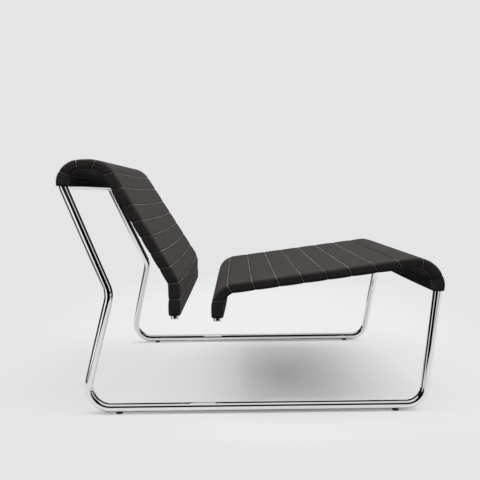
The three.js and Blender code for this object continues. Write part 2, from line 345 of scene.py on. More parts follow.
class Finish(Shading):
    """A material. Its shader's plain values are set at once, and feed() links what varies."""

    def __init__(self, name, values):
        self.material = bpy.data.materials.new(name)
        self.material.use_nodes = True
        super().__init__(self.material.node_tree)
        self.shader = self.tree.nodes["Principled BSDF"]
        for socket, value in values.items():
            self.shader.inputs[socket].default_value = value

    def feed(self, socket, wire):
        self.tree.links.new(wire.socket, self.shader.inputs[socket])

    def bump(self, height, strength, distance):
        self.feed("Normal", self.node("ShaderNodeBump", None, {
            "Height": height, "Strength": strength, "Distance": distance,
        }))

    def paint(self, *pieces):
        for piece in pieces:
            if piece.material_slots:
                for holder in piece.material_slots:
                    holder.material = self.material
            else:
                piece.data.materials.append(self.material)


# chrome: bright and hard, with a faint cloudy haze and fine polishing lines
chrome = Finish("polished chrome", {"Metallic": 1.0, "Base Color": chrome_tone})
chrome.feed("Roughness", 0.025 + chrome.noise(scale=9.0, detail=4.0) * 0.05)
chrome.bump(chrome.noise(scale=1400.0, detail=2.0), strength=0.04, distance=0.00005)

right_frame = bent_tube("right_frame_tube", back_joint, seat_joint)
both_sides(right_frame, chrome, "polished_tube", "side_frame")


# Arms. The same tube goes on inside the covers, on hidden spigots, to the back's lower
# tips and the seat's rear tips, where a few millimetres of chrome show below the hems.
joint_gap = 0.0003
right_back_arm = bent_tube("right_back_arm_tube", 0.0, back_joint - joint_gap)
right_seat_arm = bent_tube("right_seat_arm_tube", seat_joint + joint_gap, loop.length)
both_sides(right_back_arm, chrome, "polished_tube", "back_arm")
both_sides(right_seat_arm, chrome, "polished_tube", "seat_arm")


# Spigots, set screws and spreaders. Plain turned and drawn steel inside the covers:
# a spigot and its screw join each arm to its frame, and a spreader holds each pair of tips.
plain_steel = Finish("plain steel", {"Metallic": 1.0, "Base Color": (0.56, 0.55, 0.53, 1)})
steel_mill = plain_steel.noise(scale=260.0, detail=5.0)
plain_steel.feed("Roughness", 0.26 + steel_mill * 0.22)
plain_steel.bump(steel_mill, strength=0.2, distance=0.0001)
for side_name in ("right", "left"):
    for end_name in ("back", "seat"):
        plain_steel.paint(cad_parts[f"{side_name}_{end_name}_spigot"])
        plain_steel.paint(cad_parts[f"{side_name}_{end_name}_set_screw"])
plain_steel.paint(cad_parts["back_spreader"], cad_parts["seat_spreader"])


# End caps. Chromed plugs pressed into the four open tips: a disc with a chamfered rim,
# and a stem in the tube's bore.
cap_thickness = 0.003
cap_chamfer = 0.001
cap_gap = 0.0003
cap_stem_length = 0.012
cap_stem_radius = tube_radius - tube_wall - cap_gap
stem_lead = 0.0015
stem_taper = 0.0006
dish_depth = 0.0004


def turned_piece(name, place, way, steps, sides=tube_sides):
    """A disc drawn out along its axis, step by step: each is (how far, the new radius)."""
    radius = steps[0][1]
    bpy.ops.mesh.primitive_circle_add(
        vertices=sides, radius=radius, fill_type="NGON",
        location=place, rotation=way.to_track_quat("Z", "Y").to_euler(),
    )
    turned = bpy.context.object
    turned.name = name
    bpy.ops.object.transform_apply(location=True, rotation=True, scale=True)
    edit_all()
    middle = Vector(place)
    for advance, new_radius in steps[1:]:
        bpy.ops.mesh.extrude_region_move(TRANSFORM_OT_translate={"value": way * advance})
        middle = middle + way * advance
        share = new_radius / radius
        bpy.ops.transform.resize(value=(share, share, share), center_override=middle)
        radius = new_radius
    face_outwards()
    bpy.ops.object.shade_smooth_by_angle(angle=smooth_angle)
    return turned


for end_name, distance, outwards in (("back", 0.0, -1), ("seat", loop.length, 1)):
    tip, tip_heading = loop.at(distance)
    tip_way = way_on_right_side(tip_heading) * outwards
    inner_end = on_right_side(tip) - tip_way * cap_stem_length
    cap = turned_piece(f"right_{end_name}_tip_cap", inner_end, tip_way, [
        (0.0, cap_stem_radius - stem_taper),
        (stem_lead, cap_stem_radius),
        (cap_stem_length - stem_lead + cap_gap, cap_stem_radius),
        (0.0, tube_radius),
        (cap_thickness - cap_gap - cap_chamfer, tube_radius),
        (cap_chamfer * 0.6, tube_radius - cap_chamfer * 0.4),
        (cap_chamfer * 0.4, tube_radius - cap_chamfer * 1.2),
        (0.0, tube_radius * 0.55),
        (-dish_depth, tube_radius * 0.5),
    ])
    both_sides(cap, chrome, "polished_tube", end_name + "_end_cap")


# Crossbars. Two chromed round bars between the side frames, welded to the tubes at the
# covers' hems: one behind the top, one under the seat's front. Each weld is dressed to a bead.
bar_radius = 0.008
bar_end_gap = 0.0074
bead_height = 0.0014
bead_width = 0.0010
bead_step = 0.0008
back_hem = 0.573
seat_hem_setback = 0.670
seat_hem = loop.length - seat_hem_setback


def half_span(height):
    return foot_half_span - height * math.tan(frame_lean)


for bar_name, node_name, distance in (
    ("rear_bar", "rear_crossbar", back_hem),
    ("front_bar", "front_crossbar", seat_hem),
):
    spot = on_right_side(loop.at(distance)[0])
    reach = half_span(spot.z) - bar_end_gap
    tube_face = half_span(spot.z) - tube_radius
    bare_half = tube_face - bead_width - 2 * bead_step
    bar = turned_piece(bar_name, (spot.x, -reach, spot.z), Vector((0, 1, 0)), [
        (0.0, bar_radius + bead_height),
        (reach - tube_face + bead_width, bar_radius + bead_height),
        (bead_step, bar_radius + bead_step),
        (bead_step, bar_radius),
        (2 * bare_half, bar_radius),
        (bead_step, bar_radius + bead_step),
        (bead_step, bar_radius + bead_height),
        (reach - tube_face + bead_width, bar_radius + bead_height),
    ])
    chrome.paint(bar)
    finish_piece(bar, "polished_tube", node_name)


# Glides. Four black nylon pads under the rails, each a low disc with a rounded rim
# whose top is hollowed to cradle the tube.
glide_radius = 0.0085
glide_height = 0.0034
glide_cradle = 0.003
glide_rim = 0.0003
glide_shoulder = 0.0005
glide_draft = 0.0002
cradle_gap = 0.0001
cradle_length = 0.06
rear_glide_setback = 0.091
front_glide_setback = 0.0685
rear_glide_x = rear_glide_setback + loop_shift
front_glide_x = rail_length - front_glide_setback + loop_shift
glide_y = -half_span(rail_height)

# black nylon: satin, with a fine moulded grain and faint scuffs
nylon = Finish("black nylon", {"Base Color": (0.018, 0.018, 0.019, 1)})
nylon.feed("Roughness", 0.38 + nylon.noise(scale=180.0, detail=6.0) * 0.22)
nylon.bump(nylon.noise(scale=2600.0, detail=2.0), strength=0.25, distance=0.0001)

for glide_name, glide_x in (("rear", rear_glide_x), ("front", front_glide_x)):
    foot = (glide_x, glide_y, 0)
    glide = turned_piece(f"right_{glide_name}_floor_glide", foot, Vector((0, 0, 1)), [
        (0.0, glide_radius * 0.55),
        (0.0, glide_radius - 3 * glide_rim),
        (glide_rim, glide_radius - glide_rim),
        (2 * glide_rim, glide_radius),
        (glide_height - 5 * glide_rim, glide_radius),
        (2 * glide_rim, glide_radius - glide_shoulder),
        (glide_cradle, glide_radius - glide_shoulder - glide_draft),
    ])
    bpy.ops.mesh.primitive_cylinder_add(
        vertices=tube_sides, radius=tube_radius + cradle_gap, depth=cradle_length,
        location=(glide_x, glide_y, rail_height), rotation=(0, math.pi / 2, 0),
    )
    rail_form = bpy.context.object
    pick(glide)
    cradle = glide.modifiers.new("cradle", "BOOLEAN")
    cradle.object = rail_form
    cradle.operation = "DIFFERENCE"
    cradle.solver = "EXACT"
    bpy.ops.object.modifier_apply(modifier="cradle")
    bpy.data.objects.remove(rail_form)
    both_sides(glide, nylon, "glide_nylon", glide_name + "_glide")


# Back cover. A quilted sleeve of ribbed charcoal cloth over thin wadding, slipped over both
# arms and the top. Cross seams stitched through both layers part it into channels. Its hem is
# sewn shut between the tips, and lies open round the rear bar.

# the cloth's and the lining's sections, and how finely they are drawn
cloth_reach = 0.0120
cloth_corner = 0.0062
plump_reach = 0.0024
belly = 0.006
lining_reach = 0.0113
lining_corner = 0.0110
cross_steps = 60
corner_steps = 4
side_steps = 3
channel_stations = (0.0, 0.04, 0.10, 0.19, 0.32, 0.50, 0.68, 0.81, 0.90, 0.96)
lining_step = 0.025
lining_end_gap = 0.02

# channels, seams and puckers
panel_crown = 0.0010
side_crown = 0.0003
crown_power = 0.6
seam_groove = 0.0007
seam_groove_width = 0.0019
crease_width = 0.0028
pucker_depth = 0.00065
pucker_reach = 0.0070
pucker_start = 0.002
pucker_waves = (25, 75)
wave_count = 9
wave_scale = 5

# how the wadding swells, and how firmly the faces and sides hold it
swell_cap = 0.0016
swell_ticks = 20
face_hold = 0.25
side_hold = 0.65

# the hem's turns, where it is shut and where it lies round the bar
cover_setback = 0.008
hem_tuck = 0.0005
hem_roll = 0.0007
hem_depth = 0.005
hem_slot = 0.0012
bar_roll = 0.0005
bar_depth = 0.010
bar_slot = 0.0088

# how seams bow down the back, lie level at the hems and slant between them
seam_bow = 0.008
bow_fade = 0.07
level_reach = 0.018
seam_shear = 0.28
shear_fade = 0.05
back_shear_from, back_shear_to = 0.05, 0.50
seat_shear_setback = 0.06
low_seam_setback = 0.0495
seat_low_seam = loop.length - low_seam_setback
back_seams = (0.048, 0.089, 0.133, 0.178, 0.225, 0.269, 0.315, 0.365, 0.410, 0.457, 0.500, 0.541)


def mesh_piece(name, points, faces):
    """A piece made of its own points and faces, picked."""
    mesh = bpy.data.meshes.new(name)
    mesh.from_pydata(points.tolist(), [], faces)
    piece = bpy.data.objects.new(name, mesh)
    bpy.context.collection.objects.link(piece)
    pick(piece)
    return piece


def smooth_skin():
    """Turns the active piece's faces outwards and shades them smooth."""
    edit_all()
    face_outwards()
    bpy.ops.object.shade_smooth()


def sleeve_outline(reach, corner):
    """Places round a sleeve, as rows: share of the half width, step beyond it, step outwards,
    and the outward direction's two parts."""
    places = [
        (step / cross_steps, 0, reach, 0, 1) for step in range(-cross_steps, cross_steps + 1)
    ]
    for step in range(1, corner_steps):
        turn = math.pi / 2 * (1 - step / corner_steps)
        cos, sin = math.cos(turn), math.sin(turn)
        places.append((1, corner * cos, reach - corner + corner * sin, cos, sin))
    for step in range(side_steps + 1):
        places.append((1, corner, (reach - corner) * (1 - 2 * step / side_steps), 1, 0))
    for step in range(1, corner_steps):
        turn = -math.pi / 2 * step / corner_steps
        cos, sin = math.cos(turn), math.sin(turn)
        places.append((1, corner * cos, corner - reach + corner * sin, cos, sin))
    half = np.array(places, float)
    return np.vstack([half, -half])


def within(distance, low, high):
    """1 between two places along the tubes, easing to 0 at both."""
    return min(1.0, max(0.0, min(distance - low, high - distance) / shear_fade))


class Section:
    """The sleeve's frame at a distance along the tubes: where it is, which way is outwards, and
    how far its rings are bowed, and slid along to be level at a hem or to slant."""

    def __init__(self, distance):
        spot, heading = loop.at(distance)
        from_ends = min(abs(distance - end) for end in (0, back_hem, seat_hem, loop.length))
        down_back = max(0.0, 1 - distance / back_hem)
        self.bowed = -seam_bow * down_back * min(1.0, from_ends / bow_fade)
        self.x, self.up = spot.x + loop_shift, spot.y
        self.out_x, self.out_up = math.sin(heading), -math.cos(heading)
        from_level = min(abs(distance - place) for place in (back_hem, seat_hem, seat_low_seam))
        self.levelled = max(0.0, 1 - from_level / level_reach) * self.out_up / self.out_x
        on_back = within(distance, back_shear_from, back_shear_to)
        on_seat = within(distance, seat_hem + seat_shear_setback, seat_low_seam)
        self.levelled += seam_shear * (on_back - on_seat)

    def ring(self, outline, reach, corner, push=0.0):
        out = outline[:, 2] + push * outline[:, 4]
        # the cloth alone is plumper on the upright drops, and hangs a little inside
        if reach == cloth_reach:
            out = out * (1 + plump_reach / cloth_reach * abs(self.out_x) ** 3)
            out = np.where(outline[:, 4] <= -1, out - belly * (1 - outline[:, 0] ** 2), out)
        slide = self.levelled * out - self.bowed * (1 - outline[:, 0] ** 2)
        z = (self.up + self.out_up * out - self.out_x * slide) * math.cos(frame_lean)
        edge = foot_half_span - z * math.tan(frame_lean) + reach - corner
        y = outline[:, 0] * edge + outline[:, 1] + push * outline[:, 3]
        return np.stack([self.x + self.out_x * out + self.out_up * slide, y, z], axis=1)

    def outwards(self, outline):
        out = outline[:, 4]
        up = self.out_up * out * math.cos(frame_lean)
        return np.stack([self.out_x * out, outline[:, 3], up], axis=1)

    def mouth(self, outline, slot):
        """The lining's outline where it closes round the tubes, with a slot between them."""
        narrowed = outline.copy()
        tube_y = foot_half_span - self.up * math.sin(frame_lean)
        edge = tube_y + lining_reach - lining_corner
        y = np.abs(outline[:, 0]) * edge + np.abs(outline[:, 1])
        round_tube = np.sqrt(np.maximum(lining_reach ** 2 - (tube_y - y) ** 2, 0))
        narrowed[:, 2] = np.sign(outline[:, 2]) * np.minimum(
            np.abs(outline[:, 2]), np.maximum(round_tube, slot)
        )
        return narrowed


def smooth_noise(chance, count, waves):
    """A row of even noise from -1 to 1, made of a few waves at chance lengths and phases."""
    place = np.linspace(0, 2 * math.pi, count)
    total = sum(
        np.sin(place * length + phase)
        for length, phase in zip(
            chance.uniform(*waves, wave_count), chance.uniform(0, 2 * math.pi, wave_count)
        )
    )
    return total / wave_scale


def channel_rows(start, end, seams):
    """The cloth's cross rows: each one's distance along the tubes, its share of its channel and
    how far it lies from the nearest seam, and the numbers of the rows that are seams."""
    stops = [start, *seams, end]
    distances, shares, from_seam, seam_rows = [], [], [], []
    for low, high in zip(stops[:-1], stops[1:]):
        seam_rows.append(len(distances))
        for share in channel_stations:
            distances.append(low + (high - low) * share)
            shares.append(share)
            from_seam.append(min(share, 1 - share) * (high - low))
    distances.append(end)
    shares.append(0.0)
    from_seam.append(0.0)
    return distances, shares, from_seam, seam_rows[1:]


def quilted_sleeve(name, start, end, seams, shut_at_start, seed):
    """The cover's cloth and lining as one closed skin. Gives the piece, the places of its seams
    and of its edges, and their outward directions, for the stitching."""
    chance = np.random.default_rng(seed)
    cloth_outline = sleeve_outline(cloth_reach, cloth_corner)
    lining_outline = sleeve_outline(lining_reach, lining_corner)
    facing = np.abs(cloth_outline[:, 4])
    crown = side_crown + (panel_crown - side_crown) * facing
    distances, shares, from_seam, seam_rows = channel_rows(start, end, seams)
    rings, held = [], []
    for distance, share in zip(distances, shares):
        lift = crown * (4 * share * (1 - share)) ** crown_power
        if distance in (start, end):
            lift = lift - hem_tuck
        rings.append(Section(distance).ring(cloth_outline, cloth_reach, cloth_corner, lift))
        held.append(np.where(share == 0.0, 1.0, face_hold + side_hold * (1 - facing)))
    cloth_rows = len(rings)
    inward = 1 if shut_at_start else -1
    shut, mouth_end = (start, end) if shut_at_start else (end, start)

    def lip(distance, slot, blend):
        """A ring of the hem's turn, part way from the cloth to the lining's mouth."""
        section = Section(distance)
        mouth = section.ring(section.mouth(lining_outline, slot), lining_reach, lining_corner)
        cloth_ring = section.ring(cloth_outline, cloth_reach, cloth_corner, -hem_tuck)
        return cloth_ring * (1 - blend) + mouth * blend

    shut_lip = [
        lip(shut - inward * hem_roll, hem_slot, 0.5),
        lip(shut, hem_slot, 1.0),
        lip(shut + inward * hem_depth, hem_slot, 1.0),
    ]
    bar_lip = [
        lip(mouth_end + inward * bar_roll, bar_slot, 0.5),
        lip(mouth_end, bar_slot, 1.0),
        lip(mouth_end - inward * bar_depth, bar_slot, 1.0),
    ]
    inside_rows = round((end - start - 2 * lining_end_gap) / lining_step)
    inside = [
        Section(distance).ring(lining_outline, lining_reach, lining_corner)
        for distance in np.linspace(end - lining_end_gap, start + lining_end_gap, inside_rows)
    ]
    at_end, at_start = (bar_lip, shut_lip) if shut_at_start else (shut_lip, bar_lip)
    rings += at_end + inside + at_start[::-1]
    around = len(cloth_outline)
    points = np.vstack(rings)
    middle_ring = rings[cloth_rows // 2]
    steps = np.linalg.norm(middle_ring - np.roll(middle_ring, -1, axis=0), axis=1)
    girth = np.concatenate([[0], np.cumsum(steps)])
    back_rows = len(inside) + len(at_start)
    tops = distances + [end] * len(at_end) + list(np.linspace(end, start, back_rows))
    faces, cloth_map = [], []
    for row in range(len(rings)):
        after = (row + 1) % len(rings)
        for step in range(around):
            beside = (step + 1) % around
            faces.append((
                row * around + step, row * around + beside,
                after * around + beside, after * around + step,
            ))
            cloth_map += [
                (girth[step], tops[row]), (girth[step + 1], tops[row]),
                (girth[step + 1], tops[after]), (girth[step], tops[after]),
            ]
    piece = mesh_piece(name, points, faces)
    cloth_map = np.array(cloth_map, np.float32).ravel()
    piece.data.uv_layers.new(name="cloth").uv.foreach_set("vector", cloth_map)
    # how near each ring lies to a seam, read by the cloth for its painted shade in the creases
    creased = np.zeros((len(rings), around), np.float32)
    creased[:cloth_rows] = np.exp(-((np.array(from_seam) / crease_width) ** 2))[:, None]
    attribute = piece.data.attributes.new("creased", "FLOAT", "POINT")
    attribute.data.foreach_set("value", creased.ravel())
    smooth_skin()
    swell(piece, np.concatenate([*held, np.ones(len(points) - cloth_rows * around)]))
    swollen = np.zeros(len(points) * 3, np.float32)
    mesh = piece.data
    mesh.vertices.foreach_get("co", swollen)
    moved = swollen.reshape(-1, 3) - points
    far = np.linalg.norm(moved, axis=1, keepdims=True)
    points = points + moved * swell_cap / (swell_cap + far)
    hem_rows = len(channel_stations) // 2
    seam_places, edge_places = [], []
    for row in range(cloth_rows):
        section = Section(distances[row])
        outwards = section.outwards(cloth_outline)
        ring = slice(row * around, (row + 1) * around)
        depth = np.zeros(around)
        if 0 < row < cloth_rows - 1:
            near = from_seam[row]
            if hem_rows < row < cloth_rows - 1 - hem_rows:
                depth = depth - seam_groove * math.exp(-((near / seam_groove_width) ** 2))
            fade = math.exp(-near / pucker_reach)
            fade = fade * (1 - math.exp(-((near / pucker_start) ** 2)))
            depth = depth + pucker_depth * fade * smooth_noise(chance, around, pucker_waves)
        points[ring] += outwards * depth[:, None]
        if row in seam_rows:
            seam_places.append((points[ring].copy(), outwards))
        edge_places.append((points[ring].copy(), outwards))
    mesh.vertices.foreach_set("co", points.astype(np.float32).ravel())
    mesh.update()
    return piece, seam_places, edge_places


def swell(piece, held):
    """Blows the sleeve up a little between its seams, as the wadding does."""
    group = piece.vertex_groups.new(name="held")
    for i, weight in enumerate(held):
        group.add([i], float(weight), "REPLACE")
    cloth_sim = piece.modifiers.new("wadding", "CLOTH")
    springs = cloth_sim.settings
    springs.quality = 5
    springs.mass = 0.25
    springs.tension_stiffness = 12
    springs.compression_stiffness = 12
    springs.shear_stiffness = 5
    springs.bending_stiffness = 0.4
    springs.vertex_group_mass = "held"
    springs.pin_stiffness = 1.0
    springs.use_pressure = True
    springs.uniform_pressure_force = 4
    springs.effector_weights.gravity = 0
    cloth_sim.collision_settings.use_collision = False
    cloth_sim.point_cache.frame_start = 1
    cloth_sim.point_cache.frame_end = swell_ticks
    scene = bpy.context.scene
    for tick in range(1, swell_ticks + 1):
        scene.frame_set(tick)
    bpy.ops.object.modifier_apply(modifier="wadding")
    scene.frame_set(1)


# ribbed cloth: fine cords across the chair with yarn over them, matt, with a faint bloom, and
# painted shade darkening it in the creases at the seams
rib_pitch = 0.0060
yarn_pitch = 0.0012
rib_height, yarn_height, speck_height = 0.20, 0.07, 0.05
rib_light, speck_light, blotch_light, painted_crease_shade = 0.36, 0.50, 0.24, 0.9
cloth_dark = (0.0132, 0.0120, 0.0118, 1)
cloth_pale = (0.0605, 0.0535, 0.0515, 1)
charcoal = Finish("ribbed charcoal cloth", {
    "Roughness": 0.82,
    "Specular IOR Level": 0.10,
    "Sheen Weight": 0.10,
    "Sheen Roughness": 0.45,
    "Sheen Tint": (0.70, 0.65, 0.62, 1),
})
cloth_place = charcoal.node("ShaderNodeUVMap", {"uv_map": "cloth"})
cloth_across, cloth_along = charcoal.parts(cloth_place)[:2]
cloth_rib = abs(cloth_along.maths("SINE", cloth_along * (math.pi / rib_pitch)))
cloth_yarn = cloth_across.maths("SINE", cloth_across * (2 * math.pi / yarn_pitch))
cloth_blotch = charcoal.noise(scale=14.0, detail=5.0)
cloth_speck = charcoal.noise(scale=420.0, detail=2.0)
cloth_stretch = charcoal.node(
    "ShaderNodeVectorMath", {"operation": "MULTIPLY"}, {0: cloth_place, 1: (16, 75, 0)}
)
cloth_wrinkle = charcoal.node("ShaderNodeTexNoise", None, {
    "Vector": cloth_stretch, "Scale": 1.0, "Detail": 3.0, "Distortion": 0.6,
})
cloth_creased = charcoal.node("ShaderNodeAttribute", {"attribute_name": "creased"}, None, 2)
cloth_height = cloth_rib * rib_height + cloth_rib * cloth_yarn * yarn_height
cloth_height = cloth_height + cloth_speck * speck_height + cloth_wrinkle
charcoal.bump(cloth_height, strength=0.8, distance=0.0020)
cloth_light = cloth_rib * rib_light + cloth_speck * speck_light + cloth_blotch * blotch_light
# painted shade: the cloth's colour darkens in the creases at the seams
cloth_light = cloth_light * (1 - cloth_creased * painted_crease_shade)
charcoal.feed("Base Color", charcoal.blend(cloth_light, cloth_dark, cloth_pale))

back_cover, back_seam_places, back_edge_places = quilted_sleeve(
    "back_cover_quilted", cover_setback, back_hem, back_seams, shut_at_start=True, seed=11
)
charcoal.paint(back_cover)
finish_piece(back_cover, "quilted_fabric", "back_cover")


# Seat cover. The same quilted sleeve over the seat's arms and its front, with wider
# channels: its hem lies open round the front bar and is sewn shut between the rear tips.
seat_end = loop.length - cover_setback
seat_seams = tuple(
    loop.length - rest
    for rest in (0.6353, 0.5838, 0.5256, 0.4636, 0.3996, 0.3376, 0.2766, 0.2156, 0.1536, 0.0929)
) + (seat_low_seam,)
seat_cover, seat_seam_places, seat_edge_places = quilted_sleeve(
    "seat_cover_quilted", seat_hem, seat_end, seat_seams, shut_at_start=False, seed=23
)
# the thread has sunk out of sight all round the front drop's seam, and along the middle of the
# one in the crease behind the front edge
sunk_depth = 0.0012
sunk_margin = 9
front_drop_seam, crease_seam = 0, 2
crease_middle = slice(sunk_margin, 2 * cross_steps + 1 - sunk_margin)
for sunk_seam, sunk in ((front_drop_seam, slice(None)), (crease_seam, crease_middle)):
    sunk_places, sunk_outwards = seat_seam_places[sunk_seam]
    sunk_places[sunk] -= sunk_outwards[sunk] * sunk_depth
charcoal.paint(seat_cover)
finish_piece(seat_cover, "quilted_fabric", "seat_cover")


# Stitching. Pale waxed thread: a row of lockstitches round each cross seam, and one along
# each inner edge, where the sleeve was sewn shut. One stitch is turned, and the rows repeat it.
stitch_pitch = 0.0058
stitch_lift = 0.0001
stitch_half_length = 0.0022
stitch_tip, stitch_shoulder = 0.0004, 0.0006
stitch_body = 2 * (stitch_half_length - stitch_tip - stitch_shoulder)
tip_reach = 0.001
thread_radius = 0.00046
shoulder_radius = 0.00038
tip_radius = 0.00018
thread_dark = (0.16, 0.145, 0.13, 1)
thread_pale = (0.60, 0.55, 0.49, 1)
thread = Finish("pale thread", {"Roughness": 0.7, "Sheen Weight": 0.2})
thread_wear = thread.node("ShaderNodeMapRange", None, {
    "Value": thread.noise(scale=16.0, detail=2.0), "From Min": 0.30, "From Max": 0.50,
})
thread_light = thread_wear * (0.7 + thread.noise(scale=1500.0, detail=2.0) * 0.6)
thread.feed("Base Color", thread.blend(thread_light, thread_dark, thread_pale))
one_stitch = turned_piece("one_stitch", (-stitch_half_length, 0, 0), Vector((1, 0, 0)), [
    (0.0, tip_radius),
    (stitch_tip, shoulder_radius),
    (stitch_shoulder, thread_radius),
    (stitch_body, thread_radius),
    (stitch_shoulder, shoulder_radius),
    (stitch_tip, tip_radius),
], sides=6)
stitch_points = np.array([v.co for v in one_stitch.data.vertices])
stitch_faces = [tuple(face.vertices) for face in one_stitch.data.polygons]
bpy.data.objects.remove(one_stitch)


def interpolated(places, run, values):
    """Rows of three values, taken at places along a run."""
    return np.stack([np.interp(places, run, values[:, axis]) for axis in range(3)], axis=1)


def stitched_rows(name, rows):
    """One mesh of stitches laid end to end along rows of (places, outward directions)."""
    points, faces = [], []
    for places, outwards in rows:
        steps = np.linalg.norm(np.diff(places, axis=0), axis=1)
        run = np.concatenate([[0], np.cumsum(steps)])
        count = int(run[-1] / stitch_pitch)
        middles = (np.arange(count) + 0.5) * run[-1] / count
        here = interpolated(middles, run, places)
        along = interpolated(middles + tip_reach, run, places)
        along -= interpolated(middles - tip_reach, run, places)
        along /= np.linalg.norm(along, axis=1, keepdims=True)
        up = interpolated(middles, run, outwards)
        side = np.cross(up, along)
        side /= np.linalg.norm(side, axis=1, keepdims=True)
        up = np.cross(along, side)
        for spot, way, beside, above in zip(here, along, side, up):
            base = len(points) * len(stitch_points)
            turned = (
                stitch_points[:, :1] * way + stitch_points[:, 1:2] * beside
                + (stitch_points[:, 2:] + stitch_lift) * above
            )
            points.append(spot + turned)
            faces += [tuple(base + corner for corner in face) for face in stitch_faces]
    piece = mesh_piece(name, np.vstack(points), faces)
    bpy.ops.object.shade_smooth()
    thread.paint(piece)
    finish_piece(piece, "quilted_fabric")


def round_rows(seam_places):
    """Each cross seam as a closed row."""
    return [(np.vstack([p, p[:1]]), np.vstack([n, n[:1]])) for p, n in seam_places]


def edge_rows(edge_places):
    """The two lengthwise seams, on the inner face a little in from its edges."""
    inner_start = len(edge_places[0][0]) // 2
    columns = (inner_start + 1, inner_start + 2 * cross_steps - 1)
    return [
        (np.stack([p[c] for p, n in edge_places]), np.stack([n[c] for p, n in edge_places]))
        for c in columns
    ]


stitched_rows("back_cover_stitching", round_rows(back_seam_places) + edge_rows(back_edge_places))
stitched_rows("seat_cover_stitching", round_rows(seat_seam_places) + edge_rows(seat_edge_places))


# Pads. A slab of grey foam lies between the tubes inside each cover, with rounded edges.
foam = Finish("grey foam", {"Roughness": 0.95})
foam_place = foam.node("ShaderNodeTexCoord", output=3)
foam_cells = foam.node("ShaderNodeTexVoronoi", None, {"Vector": foam_place, "Scale": 900.0})
foam.feed("Base Color", foam.blend(foam_cells, (0.12, 0.12, 0.125, 1), (0.24, 0.24, 0.245, 1)))
foam.bump(foam_cells, strength=0.4, distance=0.0005)
pad_reach = 0.0108
pad_corner = 0.0060
pad_side_gap = 0.0125
pad_end_gap = 0.0088
pad_rounding = 0.004
pad_edge = 0.001
pad_step = 0.012
spreader_setback = 0.038


def foam_pad(name, start, end):
    """Rings of a rounded slab along the tubes, drawn together at both ends."""
    outline = sleeve_outline(pad_reach, pad_corner)
    around = len(outline)
    inner_places = np.arange(start + pad_rounding, end - 2 * pad_rounding, pad_step)
    rows = [(start, 0.4), (start, 0.8), (start + pad_edge, 0.95)]
    rows += [(distance, 1.0) for distance in inner_places]
    rows += [(end - pad_rounding, 1.0), (end - pad_edge, 0.95), (end, 0.8), (end, 0.4)]
    rings = []
    for distance, share in rows:
        drawn = outline.copy()
        drawn[:, 2] *= share
        ring = Section(distance).ring(drawn, pad_reach, pad_corner)
        inset = (pad_reach + pad_side_gap + (1 - share) * pad_rounding) * np.sign(ring[:, 1])
        ring[:, 1] -= inset * np.abs(outline[:, 0])
        rings.append(ring)
    faces = [
        (row * around + step, row * around + (step + 1) % around,
         (row + 1) * around + (step + 1) % around, (row + 1) * around + step)
        for row in range(len(rings) - 1) for step in range(around)
    ]
    for base in (0, (len(rings) - 1) * around):
        faces += [
            (base + step, base + step + 1,
             base + around - 2 - step, base + around - 1 - step)
            for step in range(around // 2 - 1)
        ]
    piece = mesh_piece(name, np.vstack(rings), faces)
    smooth_skin()
    foam.paint(piece)
    return piece


back_pad = foam_pad("back_foam_pad", spreader_setback + pad_end_gap, back_hem - pad_end_gap)
finish_piece(back_pad, "foam", "back_pad")
seat_pad_end = loop.length - spreader_setback - pad_end_gap
seat_pad = foam_pad("seat_foam_pad", seat_hem + pad_end_gap, seat_pad_end)
finish_piece(seat_pad, "foam", "seat_pad")


# Floor. A pale seamless sheet that takes the chair's soft shadow, partly real, partly painted. It
# glows a little behind the chair, a painted pool of light, and fades into the backdrop's own tone
# away from it. It glows less along each rail, a painted shade line, and the chrome sees painted
# dark ends to it.
backdrop_tone = (0.783, 0.783, 0.790, 1)
glow_tone = (0.855, 0.855, 0.860, 1)
paper_tone = (0.846, 0.836, 0.850, 1)
dim_paper_tone = (0.10, 0.10, 0.10, 1)
painted_dark_end_tone = (0.01, 0.01, 0.01, 1)
fade_beside = (0.55, 1.15)
fade_before = (0.36, 0.62)
fade_behind = (0.45, 1.1)
glow_middle = (0.05, 0.95, 0)
glow_reach = (0.2, 1.3)
shadow_middle = (0.095, -0.06)
shadow_size = (0.23, 0.38)
shadow_end = 1.7
shadow_unlit_share = 0.31
paper_unlit_share = 0.84
rail_shade_width = (0.008, 0.030)
rail_shade_end = (0.36, 0.44)
rail_shade_share = 0.5
rear_end, rear_end_share = (1.0, 1.5), 0.86
front_end = (3.4, 5.0)
mirror_glow_near, mirror_glow_more = 0.6, 0.4
bpy.ops.mesh.primitive_plane_add(size=40, location=(0, 0, 0))
floor = bpy.context.object
floor.name = "floor"
paper = Finish("pale paper", {"Roughness": 1.0, "Specular IOR Level": 0.0})


def rising(shading, value, low, high):
    """A smooth step from 0 to 1 while the value goes from low to high."""
    return shading.node(
        "ShaderNodeMapRange", {"interpolation_type": "SMOOTHSTEP"},
        {"Value": value, "From Min": low, "From Max": high},
    )


paper_place = paper.node("ShaderNodeTexCoord", output=3)
paper_x, paper_y = paper.parts(paper_place)[:2]
from_middle = abs(paper_x)
beside = rising(paper, from_middle, *fade_beside)
before = rising(paper, paper_y * -1, *fade_before)
behind = rising(paper, paper_y, *fade_behind)
paper_fade = 1 - (1 - beside) * (1 - before) * (1 - behind)
# painted shadow: the glow is weakest in an ellipse under the seat, where the real shadow shows
from_shadow_x = (paper_x - shadow_middle[0]) / shadow_size[0]
from_shadow_y = (paper_y - shadow_middle[1]) / shadow_size[1]
from_shadow = from_shadow_x * from_shadow_x + from_shadow_y * from_shadow_y
from_shadow = from_shadow.maths("SQRT", from_shadow)
unlit = paper.node("ShaderNodeMapRange", None, {
    "Value": from_shadow, "From Min": 0.0, "From Max": shadow_end,
    "To Min": shadow_unlit_share, "To Max": paper_unlit_share,
})
unlit = 1 - (1 - unlit) * (1 - paper_fade)
